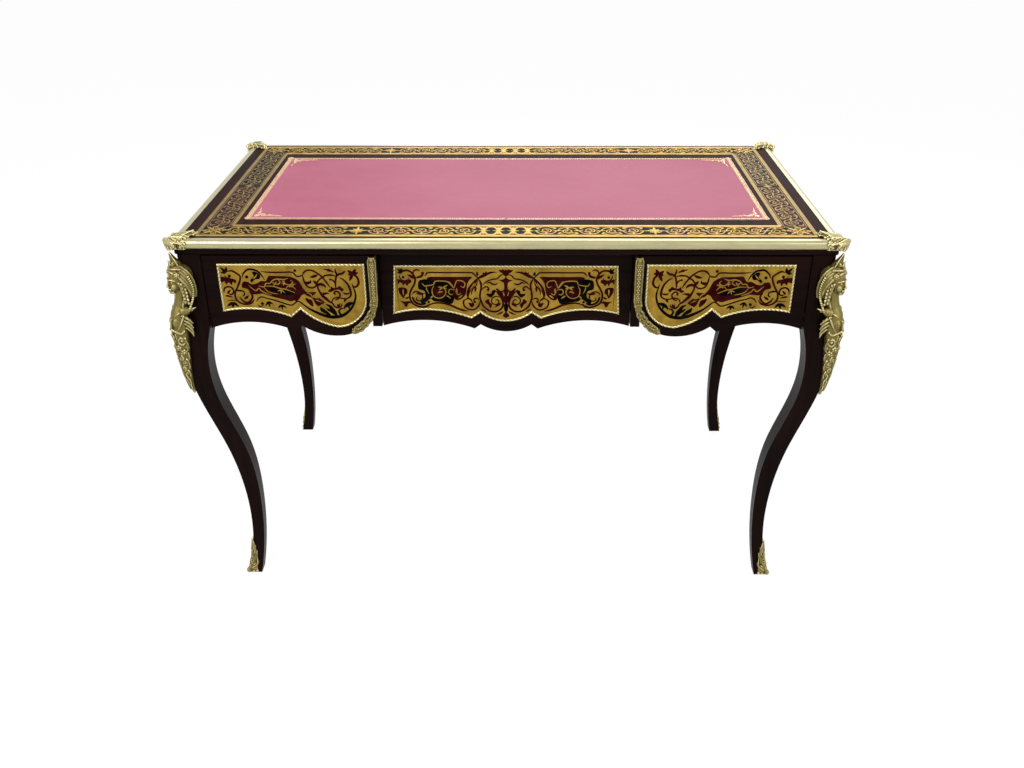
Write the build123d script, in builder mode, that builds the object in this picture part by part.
"""Flat-topped writing desk with three drawers, cabriole legs and bronze mounts.

Sizes are in millimetres.  X runs along the desk, -Y is the sitter's side and +Z
is up.  The origin is on the floor under the middle of the top.  Names that end in
_front are distances from the desk's middle toward the sitter.  Pieces that come in
mirrored sets are drawn at the front right and mirrored from there.
"""
import os

from build123d import *

os.makedirs("parts", exist_ok=True)

# Whole desk
top_length = 1250
top_depth = 670
desk_height = 785

# Top: board, brass edge, leather and the veneers round it
veneer_thickness = 1.6
lip_width = 16
lip_height = 18
lip_round = 8
rim_height = 12
rim_setback = 6
rim_round = 5
outer_band_ends = 23
outer_band_sides = 9
marquetry_width = 64
inner_band_ends = 10
inner_band_sides = 32

# Legs: square posts that turn into S-shaped cabriole legs.  A size that ends in
# _drop is a distance below the top, here and in all that follows.
post_size = 42
post_setback = 9
leg_sweep_ends = 57
leg_sweep_sides = 20
leg_bulge = 9
leg_waist = 11
foot_flare = 16
foot_width = 28
calf_width = 37
knee_width = 45
ankle_height = 183
calf_height = 323
knee_inner_drop = 332
knee_drop = 300
waist_drop = 247
leg_turn_drop = 183
post_foot_drop = 135
calf_sweep_share = 0.6

# Bronze shoes on the outer corners of the feet
sabot_wall = 2.4
sabot_height = 86
sabot_low_height = 12
sabot_tip_setback = 14
sabot_face_width = 19
sabot_edge_sag = 5

# Bronze clasps on the corners of the top
clasp_reach = 30
clasp_overhang = 4
clasp_corner_round = 6
clasp_tongue_reach = 46
clasp_tongue_round = 11
clasp_edge_sag = 4
clasp_rise = 9
clasp_slope = 35

# Drawer fronts: the two side fronts stand ahead of the centre one
front_thickness = 20
side_front_setback = 2
centre_recess = 28
front_top_gap = 3
front_side_gap = 1.5
fit_gap = 0.3

# Shaped lower edge of the side fronts
pedestal_inner = 247
pedestal_corner = 79
lobe_drop = 199
lobe_sag = 6
arch_end_drop = 183
arch_drop = 170
cusp_from_centre = 408
cusp_drop = 189
step_width = 13
step_height = 11

# Shaped lower edge of the centre front
centre_end_drop = 190
centre_arch_from_centre = 152
centre_arch_drop = 178
centre_cusp_half = 62
centre_cusp_drop = 196
centre_step_half = 50
centre_step_drop = 187
centre_middle_drop = 202

# Shaped lower edge of the side aprons
apron_end_drop = 183
apron_arch_from_centre = 175
apron_arch_drop = 169
apron_cusp_half = 76
apron_cusp_drop = 191
apron_step_half = 62
apron_step_drop = 181
apron_middle_drop = 199

# Panels of marquetry in bronze bezels, and the wood left bare round them
bezel_width = 4.5
bezel_depth = 4
panel_thickness = 1.2
top_border = 15.5
centre_top_border = 29
inner_border = 18.5
outer_border = 28.5
lobe_border = 18.5
arch_border = 27
arch_end_border = 35
cusp_border = 30
panel_step_width = 19
panel_step_height = 16
panel_cusp_shift = 6
centre_end_border = 26
centre_end_flare = 6
centre_low_border = 22
centre_step_border = 25

# Bronze mounts on the inner corners of the side fronts
corner_mount_width = 17
corner_mount_overhang = 4
corner_mount_depth = 8
corner_mount_lap = 14
corner_mount_angle = 67
corner_mount_round = 2

# Frame under the top
apron_thickness = 20
apron_setback = 4
rail_depth = 28
rail_height = 20
divider_thickness = 18
divider_setback = 4
divider_foot_drop = 188
divider_drop = 175
divider_foot_length = 30
runner_height = 12
runner_width = 16
guide_width = 29
guide_height = 30
kicker_gap = 1
block_height = 60
block_reach = 33

# Drawer boxes
box_length = 420
box_side = 10
box_back = 10
box_side_height = 98
box_top_gap = 7
box_back_drop = 6
side_gap = 1.5
bottom_thickness = 5
bottom_rise = 8
groove_depth = 5
dovetail_count = 4
dovetail_length = 14
dovetail_root = 13
dovetail_flare = 2.5

# Screws that hold the top on its rails
screw_head_radius = 4
screw_head_height = 3
screw_shank_radius = 2
screw_bite = 9
inner_screw_x = 150
outer_screw_x = 420

# Bronze busts on the posts: two turned forms, the head and the body below it.  A
# reach is how far an axis lies outward from the post's corner along the diagonal.
bust_height = 304
head_reach = 5
crown_radius = 5
crown_drop = 22
head_radius = 21
head_drop = 78
neck_radius = 15
neck_drop = 122
body_reach = 16
shoulder_radius = 16
shoulder_drop = 143
chest_radius = 20.5
chest_drop = 182
scroll_radius = 18
scroll_drop = 232
tail_radius = 8
tail_drop = 282
tail_tip_radius = 2.5

# Worked-out sizes
lip_bottom = desk_height - lip_height
board_bottom = lip_bottom - rim_height
veneer_seat = desk_height - veneer_thickness
post_x = top_length / 2 - post_setback
post_front = top_depth / 2 - post_setback
leg_inner_x = post_x - post_size
leg_inner_front = post_front - post_size
knee_inner_height = desk_height - knee_inner_drop
knee_height = desk_height - knee_drop
waist_height = desk_height - waist_drop
leg_turn_height = desk_height - leg_turn_drop
post_foot_height = desk_height - post_foot_drop
side_face_front = post_front - side_front_setback
side_back_front = side_face_front - front_thickness
centre_face_front = side_face_front - centre_recess
centre_back_front = centre_face_front - front_thickness
front_top = board_bottom - front_top_gap
lobe_height = desk_height - lobe_drop
arch_end_height = desk_height - arch_end_drop
arch_height = desk_height - arch_drop
cusp_height = desk_height - cusp_drop
centre_end_height = desk_height - centre_end_drop
centre_arch_height = desk_height - centre_arch_drop
centre_cusp_height = desk_height - centre_cusp_drop
centre_step_height = desk_height - centre_step_drop
centre_middle_height = desk_height - centre_middle_drop
apron_x = post_x - apron_setback
apron_inner_x = apron_x - apron_thickness
apron_end_height = desk_height - apron_end_drop
apron_arch_height = desk_height - apron_arch_drop
apron_cusp_height = desk_height - apron_cusp_drop
apron_step_height = desk_height - apron_step_drop
apron_middle_height = desk_height - apron_middle_drop
divider_inner_x = pedestal_inner - divider_setback
divider_outer_x = divider_inner_x + divider_thickness
divider_front = side_back_front - fit_gap
divider_foot_height = desk_height - divider_foot_drop
divider_height = desk_height - divider_drop
rail_front = centre_back_front - fit_gap
rail_back = rail_front - rail_depth
rail_bottom = board_bottom - rail_height
guide_x = apron_inner_x - guide_width
box_top = rail_bottom - box_top_gap
box_floor_height = box_top - box_side_height
box_bottom_top = box_floor_height + bottom_rise + bottom_thickness
runner_top = box_floor_height - fit_gap
centre_half = divider_inner_x - front_side_gap
corner_centre = (pedestal_inner + pedestal_corner, lobe_height + pedestal_corner)

# The desk seen from its right end: this plane's x runs to the front.
END_VIEW = Plane(origin=(0, 0, 0), x_dir=(0, -1, 0), z_dir=(-1, 0, 0))


def save(piece, name):
    """Label a finished piece and write it."""
    piece.part.label = name
    export_step(piece.part, f"parts/{name}.step")


def mirrored(piece, plane):
    """The same piece on the other side of a plane of the desk."""
    with BuildPart() as copy:
        mirror(piece.part, about=plane)
    return copy


def with_mirror(piece, plane):
    """A piece and its mirrored fellow, as one node of separate solids."""
    with BuildPart() as pair:
        add(piece.part)
        mirror(piece.part, about=plane)
    return pair


def block(x_range, y_range, z_range, mode=Mode.ADD):
    """A rectangular solid between two values along each axis."""
    with Locations((x_range[0], y_range[0], z_range[0])):
        Box(
            x_range[1] - x_range[0],
            y_range[1] - y_range[0],
            z_range[1] - z_range[0],
            align=(Align.MIN, Align.MIN, Align.MIN),
            mode=mode,
        )


# --- The top ---------------------------------------------------------------------

with BuildPart() as top_screws:
    screw_x = (-outer_screw_x, -inner_screw_x, inner_screw_x, outer_screw_x)
    screw_points = [(x, rail_depth / 2 - rail_front) for x in screw_x]
    with BuildSketch(Plane.XY.offset(rail_bottom)):
        with Locations(*screw_points):
            Circle(screw_head_radius)
    extrude(amount=screw_head_height)
    with BuildSketch(Plane.XY.offset(rail_bottom)):
        with Locations(*screw_points):
            Circle(screw_shank_radius)
    extrude(amount=rail_height + screw_bite)
    mirror(about=Plane.XZ)

with BuildPart() as top_board:
    with BuildSketch(Plane.XY.offset(board_bottom)):
        Rectangle(top_length - 2 * rim_setback, top_depth - 2 * rim_setback)
    extrude(amount=rim_height)
    fillet(top_board.faces().sort_by(Axis.Z)[0].edges(), radius=rim_round)
    with BuildSketch(Plane.XY.offset(lip_bottom)):
        Rectangle(top_length - 2 * lip_width, top_depth - 2 * lip_width)
    extrude(amount=veneer_seat - lip_bottom)
    add(top_screws.part, mode=Mode.SUBTRACT)


def edge_mouldings(length, depth, end_view):
    """Two opposite brass mouldings with a round nose and mitred ends."""
    outward = end_view.x_dir
    along = end_view.z_dir
    with BuildPart() as mouldings:
        with BuildSketch(end_view) as section:
            with Locations((depth / 2, desk_height)):
                Rectangle(lip_width, lip_height, align=(Align.MAX, Align.MAX))
            fillet(section.vertices().sort_by(Axis.X)[-2:], radius=lip_round)
        extrude(amount=length / 2, both=True)
        for end in (-1, 1):
            corner = outward * (depth / 2) + along * (end * length / 2)
            split(bisect_by=Plane(origin=corner, z_dir=along * end - outward), keep=Keep.BOTTOM)
        mirror(about=Plane(origin=(0, 0, 0), z_dir=outward))
    return mouldings


edge_moulding_long = edge_mouldings(top_length, top_depth, END_VIEW)
edge_moulding_short = edge_mouldings(top_depth, top_length, Plane.XZ)


def veneer_band(outer_size, end_width, side_width):
    """A flat frame of veneer on the board, and the size that it leaves inside."""
    inner_size = (outer_size[0] - 2 * end_width, outer_size[1] - 2 * side_width)
    with BuildPart() as band:
        with BuildSketch(Plane.XY.offset(veneer_seat)):
            Rectangle(*outer_size)
            Rectangle(*inner_size, mode=Mode.SUBTRACT)
        extrude(amount=veneer_thickness)
    return band, inner_size


board_size = (top_length - 2 * lip_width, top_depth - 2 * lip_width)
outer_crossbanding, marquetry_size = veneer_band(board_size, outer_band_ends, outer_band_sides)
top_marquetry, inner_band_size = veneer_band(marquetry_size, marquetry_width, marquetry_width)
inner_crossbanding, leather_size = veneer_band(inner_band_size, inner_band_ends, inner_band_sides)

with BuildPart() as leather_skiver:
    with BuildSketch(Plane.XY.offset(veneer_seat)):
        Rectangle(*leather_size)
    extrude(amount=veneer_thickness)


# --- Legs and their bronzes --------------------------------------------------------

def leg_outline(post_face, sweep, grow=0):
    """One view of the leg: a straight post above an S-shaped cabriole leg.

    The first coordinate runs outward from the desk's middle, the second up.
    """
    post_back = post_face - post_size
    foot_face = post_face - sweep + foot_flare
    ankle_face = post_face - sweep
    calf_face = post_face - sweep * calf_sweep_share
    knee_face = post_face + leg_bulge
    with BuildLine() as outline:
        outer = Spline(
            (foot_face + grow, 0),
            (ankle_face + grow, ankle_height),
            (calf_face + grow, calf_height),
            (knee_face + grow, knee_height),
            (post_face + grow, post_foot_height),
        )
        inner = Spline(
            (foot_face - foot_width - grow, 0),
            (ankle_face - foot_width - grow, ankle_height),
            (calf_face - calf_width - grow, calf_height),
            (knee_face - knee_width - grow, knee_inner_height),
            (post_back + leg_waist - grow, waist_height),
            (post_back - grow, leg_turn_height),
        )
        Polyline(
            outer @ 1,
            (post_face + grow, board_bottom),
            (post_back - grow, board_bottom),
            inner @ 1,
        )
        Line(outer @ 0, inner @ 0)
    return outline.edges()


def leg_solid(grow=0):
    """The leg as the common solid of its front view and its end view."""
    with BuildPart() as solid:
        with BuildSketch(Plane.XZ):
            make_face(leg_outline(post_x, leg_sweep_ends, grow))
        extrude(amount=top_depth, both=True)
        with BuildSketch(END_VIEW):
            make_face(leg_outline(post_front, leg_sweep_sides, grow))
        extrude(amount=top_length, both=True, mode=Mode.INTERSECT)
    return solid


def sabot_outline(post_face, sweep):
    """One view of the shoe's reach: its inner edge climbs to a tip on the outer corner."""
    foot_face = post_face - sweep + foot_flare
    edge = foot_face - sabot_face_width
    with BuildLine() as outline:
        shoulder = Line((edge, 0), (edge, sabot_low_height))
        leaf_edge = SagittaArc(shoulder @ 1, (foot_face - sabot_tip_setback, sabot_height), sabot_edge_sag)
        Polyline(
            leaf_edge @ 1,
            (foot_face + foot_width, sabot_height),
            (foot_face + foot_width, 0),
            shoulder @ 0,
        )
    return outline.edges()


leg = leg_solid()

with BuildPart() as sabot:
    add(leg_solid(sabot_wall).part)
    with BuildSketch(Plane.XZ):
        make_face(sabot_outline(post_x, leg_sweep_ends))
    extrude(amount=top_depth, both=True, mode=Mode.INTERSECT)
    with BuildSketch(END_VIEW):
        make_face(sabot_outline(post_front, leg_sweep_sides))
    extrude(amount=top_length, both=True, mode=Mode.INTERSECT)
    add(leg.part, mode=Mode.SUBTRACT)


def turned(reach, stations):
    """A turned form on the corner's diagonal, from pairs of drop and radius."""
    corner = Plane(origin=(post_x, -post_front, 0), x_dir=(1, -1, 0), z_dir=(-1, -1, 0))
    points = [(reach + radius, desk_height - drop) for drop, radius in stations]
    with BuildPart() as form:
        with BuildSketch(corner):
            with BuildLine():
                side = Spline(*points)
                Polyline(side @ 1, (reach, points[-1][1]), (reach, points[0][1]), side @ 0)
            make_face()
        revolve(axis=Axis(corner.from_local_coords((reach, 0, 0)), (0, 0, 1)))
    return form


head_stations = (
    (crown_drop, crown_radius),
    (head_drop, head_radius),
    (neck_drop, neck_radius),
)
body_stations = (
    (head_drop, tail_radius),
    (neck_drop, tail_radius),
    (shoulder_drop, shoulder_radius),
    (chest_drop, chest_radius),
    (scroll_drop, scroll_radius),
    (tail_drop, tail_radius),
    (crown_drop + bust_height, tail_tip_radius),
)
with BuildPart() as bust:
    add(turned(head_reach, head_stations).part)
    add(turned(body_reach, body_stations).part)
    add(leg.part, mode=Mode.SUBTRACT)
    add(top_board.part, mode=Mode.SUBTRACT)


def clasp_outline():
    """A shell seen from above, with its tongue on the veneer along the diagonal.

    The origin is the corner of the top, and both coordinates run inward from it.
    """
    tongue_side = clasp_tongue_reach - clasp_tongue_round
    with BuildLine() as outline:
        end = Line((-clasp_overhang, clasp_reach), (0, clasp_reach))
        edge = SagittaArc(end @ 1, (tongue_side, clasp_tongue_reach), -clasp_edge_sag)
        tongue = RadiusArc(edge @ 1, (clasp_tongue_reach, tongue_side), clasp_tongue_round)
        other_edge = SagittaArc(tongue @ 1, (clasp_reach, 0), -clasp_edge_sag)
        other_end = Line(other_edge @ 1, (clasp_reach, -clasp_overhang))
        nose = RadiusArc(
            (clasp_corner_round, -clasp_overhang),
            (-clasp_overhang, clasp_corner_round),
            clasp_corner_round + clasp_overhang,
        )
        Line(other_end @ 1, nose @ 0)
        Line(nose @ 1, end @ 0)
    return outline.edges()


corner_of_top = Plane(origin=(top_length / 2, -top_depth / 2, lip_bottom), x_dir=(-1, 0, 0), z_dir=(0, 0, -1))
with BuildPart() as clasp:
    with BuildSketch(corner_of_top):
        make_face(clasp_outline())
    extrude(amount=-lip_height)
    extrude(clasp.faces().sort_by(Axis.Z)[-1], amount=clasp_rise, taper=clasp_slope)
    for covered in (top_board, edge_moulding_long, edge_moulding_short, outer_crossbanding, top_marquetry):
        add(covered.part, mode=Mode.SUBTRACT)


# --- Drawer fronts -----------------------------------------------------------------

def pedestal_outline(inner_x, outer_x, top, lobe, corner, cusp, step, arch, end_height):
    """The shape of a side front or of its panel, from the inner corner to the leg."""
    lobe_x = inner_x + corner
    cusp_x, cusp_z = cusp
    step_x, step_z = step
    with BuildLine() as outline:
        inner_corner = CenterArc((lobe_x, lobe + corner), corner, 180, 90)
        lobe_side = SagittaArc(inner_corner @ 1, (cusp_x - step_x, cusp_z + step_z), -lobe_sag)
        cusp_step = Line(lobe_side @ 1, (cusp_x, cusp_z))
        arch_side = ThreePointArc(cusp_step @ 1, ((cusp_x + outer_x) / 2, arch), (outer_x, end_height))
        Polyline(arch_side @ 1, (outer_x, top), (inner_x, top), inner_corner @ 0)
    return outline.edges()


def side_front_outline(outer_x):
    """The right side front, out to the given distance from the desk's middle."""
    return pedestal_outline(
        pedestal_inner,
        outer_x,
        front_top,
        lobe_height,
        pedestal_corner,
        cusp=(cusp_from_centre, cusp_height),
        step=(step_width, step_height),
        arch=arch_height,
        end_height=arch_end_height,
    )


def side_panel_outline(inset=0):
    """The bezel's outer edge on a side front, or a line drawn inside it."""
    return pedestal_outline(
        pedestal_inner + inner_border + inset,
        leg_inner_x - outer_border - inset,
        front_top - top_border - inset,
        lobe_height + lobe_border + inset,
        pedestal_corner - lobe_border - inset,
        cusp=(cusp_from_centre + panel_step_width - step_width, cusp_height + cusp_border + inset),
        step=(panel_step_width, panel_step_height),
        arch=arch_height + arch_border + inset,
        end_height=arch_end_height + arch_end_border + inset,
    )


def serpentine_outline(half, top, end_height, arch, cusp, step, drop, flare=0):
    """A board with a straight top and the same scallops on each side of its middle.

    Its ends may flare outward on their way down.
    """
    with BuildLine() as outline:
        middle = TangentArc((0, drop), step, tangent=(1, 0))
        cusp_step = Line(middle @ 1, cusp)
        arch_side = ThreePointArc(cusp_step @ 1, arch, (half + flare, end_height))
        Polyline(arch_side @ 1, (half, top), (0, top))
        mirror(about=Plane.YZ)
    return outline.edges()


def centre_front_outline(half):
    """The recessed front between the two side fronts."""
    return serpentine_outline(
        half,
        front_top,
        centre_end_height,
        (centre_arch_from_centre, centre_arch_height),
        (centre_cusp_half, centre_cusp_height),
        (centre_step_half, centre_step_height),
        centre_middle_height,
    )


def centre_panel_outline(inset=0):
    """The bezel's outer edge on the centre front, or a line drawn inside it."""
    return serpentine_outline(
        centre_half - centre_end_border - inset,
        front_top - centre_top_border - inset,
        centre_end_height + centre_step_border + inset,
        (centre_arch_from_centre, centre_arch_height + centre_low_border + inset),
        (centre_cusp_half + panel_cusp_shift, centre_cusp_height + centre_low_border + inset),
        (centre_step_half, centre_step_height + centre_step_border + inset),
        centre_middle_height + centre_low_border + inset,
        flare=centre_end_flare,
    )


def apron_outline():
    """The shaped board between a front leg and the back leg behind it."""
    return serpentine_outline(
        leg_inner_front,
        board_bottom,
        apron_end_height,
        (apron_arch_from_centre, apron_arch_height),
        (apron_cusp_half, apron_cusp_height),
        (apron_step_half, apron_step_height),
        apron_middle_height,
    )


def apron_panel_outline(inset=0):
    """The bezel's outer edge on a side apron, or a line drawn inside it."""
    return serpentine_outline(
        leg_inner_front - outer_border - inset,
        front_top - top_border - inset,
        apron_end_height + arch_end_border + inset,
        (apron_arch_from_centre, apron_arch_height + arch_border + inset),
        (apron_cusp_half + panel_cusp_shift, apron_cusp_height + cusp_border + inset),
        (apron_step_half, apron_step_height + cusp_border + inset),
        apron_middle_height + arch_border + inset,
    )


def front_board(outline, size, back_front):
    """A drawer front, or a false one, sawn from a board to its outline."""
    with BuildPart() as board:
        with BuildSketch(Plane.XZ.offset(back_front)):
            make_face(outline(size))
        extrude(amount=front_thickness)
    return board


def bezel_and_panel(outline, face):
    """A bronze bezel laid on a board's face, and the marquetry panel inside it."""
    with BuildPart() as bezel:
        with BuildSketch(face):
            make_face(outline())
            make_face(outline(bezel_width), mode=Mode.SUBTRACT)
        extrude(amount=bezel_depth)
    with BuildPart() as panel:
        with BuildSketch(face):
            make_face(outline(bezel_width))
        extrude(amount=panel_thickness)
    return bezel, panel


side_face = Plane.XZ.offset(side_face_front)
centre_face = Plane.XZ.offset(centre_face_front)
apron_face = Plane.YZ.offset(apron_x)

right_front = front_board(side_front_outline, leg_inner_x - front_side_gap, side_back_front)
centre_front = front_board(centre_front_outline, centre_half, centre_back_front)
right_bezel, right_marquetry = bezel_and_panel(side_panel_outline, side_face)
centre_bezel, centre_marquetry = bezel_and_panel(centre_panel_outline, centre_face)
apron_bezel, apron_marquetry = bezel_and_panel(apron_panel_outline, apron_face)


def corner_mount_outline(inner_radius):
    """A band down the front's inner edge and round its lower corner."""
    outer_radius = pedestal_corner + corner_mount_overhang
    centre_x = corner_centre[0]
    with BuildLine() as outline:
        outer = CenterArc(corner_centre, outer_radius, 180, corner_mount_angle)
        inner = CenterArc(corner_centre, inner_radius, 180, corner_mount_angle)
        Polyline(
            outer @ 0,
            (centre_x - outer_radius, front_top),
            (centre_x - inner_radius, front_top),
            inner @ 0,
        )
        Line(outer @ 1, inner @ 1)
    return outline.edges()


with BuildPart() as right_corner_mount:
    with BuildSketch(side_face):
        make_face(corner_mount_outline(pedestal_corner + corner_mount_overhang - corner_mount_width))
    extrude(amount=corner_mount_depth)
    fillet(right_corner_mount.faces().sort_by(Axis.Y)[0].edges(), radius=corner_mount_round)
    with BuildSketch(Plane.XZ.offset(side_face_front - corner_mount_lap)):
        make_face(corner_mount_outline(pedestal_corner))
    extrude(amount=corner_mount_lap)


# --- Drawer boxes --------------------------------------------------------------------

def dovetails(x, near):
    """The tails that lock a drawer's side, which starts at x, into the front's back."""
    pitch = box_side_height / dovetail_count
    with BuildPart() as tails:
        with BuildSketch(Plane.YZ.offset(x)):
            for tail in range(dovetail_count):
                middle = box_floor_height + pitch * (tail + 0.5)
                with BuildLine():
                    Polyline(
                        (near, middle - dovetail_root / 2),
                        (near - dovetail_length, middle - dovetail_root / 2 - dovetail_flare),
                        (near - dovetail_length, middle + dovetail_root / 2 + dovetail_flare),
                        (near, middle + dovetail_root / 2),
                        close=True,
                    )
                make_face()
        extrude(amount=box_side)
    return tails


def drawer_box(x_low, x_high, near):
    """Sides, back and bottom of a drawer; near is the y of its front's back face."""
    far = near + box_length
    bottom_z = (box_floor_height + bottom_rise, box_bottom_top)
    with BuildPart() as bottom:
        block(
            (x_low + box_side - groove_depth, x_high - box_side + groove_depth),
            (near - groove_depth, far),
            bottom_z,
        )
    with BuildPart() as sides:
        for x in (x_low, x_high - box_side):
            block((x, x + box_side), (near, far), (box_floor_height, box_top))
            add(dovetails(x, near).part)
        add(bottom.part, mode=Mode.SUBTRACT)
    with BuildPart() as back:
        block(
            (x_low + box_side, x_high - box_side),
            (far - box_back, far),
            (box_bottom_top, box_top - box_back_drop),
        )
    return sides, back, bottom


right_sides, right_back, right_bottom = drawer_box(
    divider_outer_x + side_gap,
    guide_x - side_gap,
    -side_back_front,
)
centre_sides, centre_back, centre_bottom = drawer_box(
    side_gap - divider_inner_x,
    divider_inner_x - side_gap,
    -centre_back_front,
)

with BuildPart() as right_drawer_front:
    add(right_front.part)
    add(right_sides.part, mode=Mode.SUBTRACT)
    add(right_bottom.part, mode=Mode.SUBTRACT)

with BuildPart() as centre_drawer_front:
    add(centre_front.part)
    add(centre_sides.part, mode=Mode.SUBTRACT)
    add(centre_bottom.part, mode=Mode.SUBTRACT)


# --- Frame under the top ---------------------------------------------------------------

with BuildPart() as front_rail:
    block(
        (-apron_inner_x, apron_inner_x),
        (-rail_front, -rail_back),
        (rail_bottom, board_bottom),
    )
    add(top_screws.part, mode=Mode.SUBTRACT)

back_rail = mirrored(front_rail, Plane.XZ)

with BuildPart() as side_apron:
    with BuildSketch(Plane.YZ.offset(apron_inner_x)):
        make_face(apron_outline())
    extrude(amount=apron_thickness)

with BuildPart() as divider:
    foot_round = divider_height - divider_foot_height
    foot_back = divider_front - divider_foot_length
    with BuildSketch(Plane.YZ.offset(divider_inner_x)):
        with BuildLine():
            cove = CenterArc((foot_back - foot_round, divider_foot_height), foot_round, 0, 90)
            Polyline(
                cove @ 0,
                (divider_front, divider_foot_height),
                (divider_front, board_bottom),
                (0, board_bottom),
            )
            Line(cove @ 1, (0, divider_height))
            mirror(about=Plane.YZ)
        make_face()
    extrude(amount=divider_thickness)
    add(front_rail.part, mode=Mode.SUBTRACT)
    add(back_rail.part, mode=Mode.SUBTRACT)

with BuildPart() as right_runners:
    runner_z = (runner_top - runner_height, runner_top)
    side_run = (-divider_front, box_length - side_back_front)
    outer_run = (-leg_inner_front, box_length - side_back_front)
    centre_run = (-rail_front, box_length - centre_back_front)
    block((divider_outer_x, divider_outer_x + runner_width), side_run, runner_z)
    block((guide_x - runner_width, apron_inner_x), outer_run, runner_z)
    block((guide_x, apron_inner_x), outer_run, (runner_top, runner_top + guide_height))
    block((divider_inner_x - runner_width, divider_inner_x), centre_run, runner_z)

with BuildPart() as right_kickers:
    kicker_z = (box_top + kicker_gap, board_bottom)
    kicker_run = (-rail_back, box_length - side_back_front)
    for kicker_x in (divider_outer_x, guide_x - runner_width, divider_inner_x - runner_width):
        block((kicker_x, kicker_x + runner_width), kicker_run, kicker_z)

with BuildPart() as corner_block:
    with BuildSketch(Plane.XY.offset(rail_bottom - block_height)):
        with BuildLine():
            Polyline(
                (apron_inner_x, -leg_inner_front),
                (apron_inner_x, block_reach - leg_inner_front),
                (leg_inner_x, -leg_inner_front),
                close=True,
            )
        make_face()
    extrude(amount=block_height)

with BuildPart() as false_fronts:
    add(front_board(side_front_outline, leg_inner_x, side_back_front).part)
    mirror(about=Plane.YZ)
    add(front_board(centre_front_outline, divider_inner_x, centre_back_front).part)


# --- Writing the pieces ------------------------------------------------------------------

def save_at_corners(piece, name):
    """Write a front right piece and its three mirrored fellows as four nodes."""
    left = mirrored(piece, Plane.YZ)
    save(piece, f"{name}_front_right")
    save(left, f"{name}_front_left")
    save(mirrored(piece, Plane.XZ), f"{name}_back_right")
    save(mirrored(left, Plane.XZ), f"{name}_back_left")


save_at_corners(leg, "leg")
save_at_corners(sabot, "sabot")
save_at_corners(bust, "bust")
save_at_corners(clasp, "clasp")

right_drawer = {
    "front": right_drawer_front,
    "sides": right_sides,
    "back": right_back,
    "bottom": right_bottom,
    "bezel": right_bezel,
    "marquetry": right_marquetry,
    "corner_mount": right_corner_mount,
}
for piece_name, piece in right_drawer.items():
    save(piece, f"right_drawer_{piece_name}")
    save(mirrored(piece, Plane.YZ), f"left_drawer_{piece_name}")

centre_drawer = {
    "front": centre_drawer_front,
    "sides": centre_sides,
    "back": centre_back,
    "bottom": centre_bottom,
    "bezel": centre_bezel,
    "marquetry": centre_marquetry,
}
for piece_name, piece in centre_drawer.items():
    save(piece, f"centre_drawer_{piece_name}")

save(top_board, "top_board")
save(edge_moulding_long, "edge_moulding_long")
save(edge_moulding_short, "edge_moulding_short")
save(outer_crossbanding, "outer_crossbanding")
save(top_marquetry, "top_marquetry")
save(inner_crossbanding, "inner_crossbanding")
save(leather_skiver, "leather_skiver")
save(top_screws, "top_screws")

save(front_rail, "front_rail")
save(back_rail, "back_rail")
save(divider, "divider_right")
save(mirrored(divider, Plane.YZ), "divider_left")
save(side_apron, "side_apron_right")
save(mirrored(side_apron, Plane.YZ), "side_apron_left")
save(with_mirror(right_runners, Plane.YZ), "drawer_runners")
save(with_mirror(right_kickers, Plane.YZ), "drawer_kickers")
save(with_mirror(with_mirror(corner_block, Plane.YZ), Plane.XZ), "corner_blocks")

save(mirrored(false_fronts, Plane.XZ), "back_false_fronts")

back_names = {"bezel": "back_bezels", "marquetry": "back_marquetry", "corner_mount": "back_corner_mounts"}
for piece_name, back_name in back_names.items():
    with BuildPart() as front_set:
        add(with_mirror(right_drawer[piece_name], Plane.YZ).part)
        if piece_name in centre_drawer:
            add(centre_drawer[piece_name].part)
    save(mirrored(front_set, Plane.XZ), back_name)

save(with_mirror(apron_bezel, Plane.YZ), "side_bezels")
save(with_mirror(apron_marquetry, Plane.YZ), "side_marquetry")
